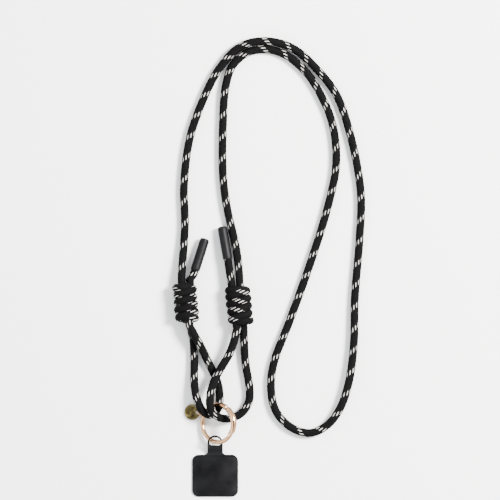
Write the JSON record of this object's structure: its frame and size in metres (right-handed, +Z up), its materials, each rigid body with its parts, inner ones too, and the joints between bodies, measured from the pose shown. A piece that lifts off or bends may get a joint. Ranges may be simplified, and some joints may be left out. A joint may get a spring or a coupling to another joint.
{
  "type": "phone crossbody strap",
  "caption": "Braided rope crossbody strap tied with two barrel knots, with a sprung gate ring, a small round tag and a black tab on a thin pad that anchors in a phone case.",
  "frame": {"origin": "on the surface the strap lies on, under the middle of the box round its knots, sleeves, ring, tag and tab", "axes": "+Z up, away from the surface; +Y from the pad towards the neck loop; +X to the right seen from above"},
  "size_m": [0.1464, 0.3489, 0.0202],
  "materials": {
    "rope": "matte black braided polyester with a white tracer",
    "heat_shrink": "satin black heat-shrink sleeve",
    "gold": "polished pale gold plating on metal",
    "bronze": "dull antique bronze",
    "tab": "glossy black flexible plastic"
  },
  "bodies": {
    "strap": {"neck_cord": "rope", "loop_left": "rope", "loop_right": "rope", "tail_left": "rope", "tail_right": "rope", "knot_left": "rope", "knot_right": "rope", "sleeve_left": "heat_shrink", "sleeve_right": "heat_shrink", "ring_body": "gold", "tag_link": "gold", "tag": "bronze", "anchor_tab": "tab"},
    "gate": {"ring_gate": "gold"}
  },
  "joints": [
    {"name": "gate_hinge", "type": "hinge", "parent": "strap", "child": "gate", "pos_m": [0.00957, -0.03461, 0.01392], "axis": [0.5446, 0, -0.8387], "range_deg": [0, 30], "stiffness_Nm_per_rad": 0.05, "springref_deg": -17.19}
  ]
}
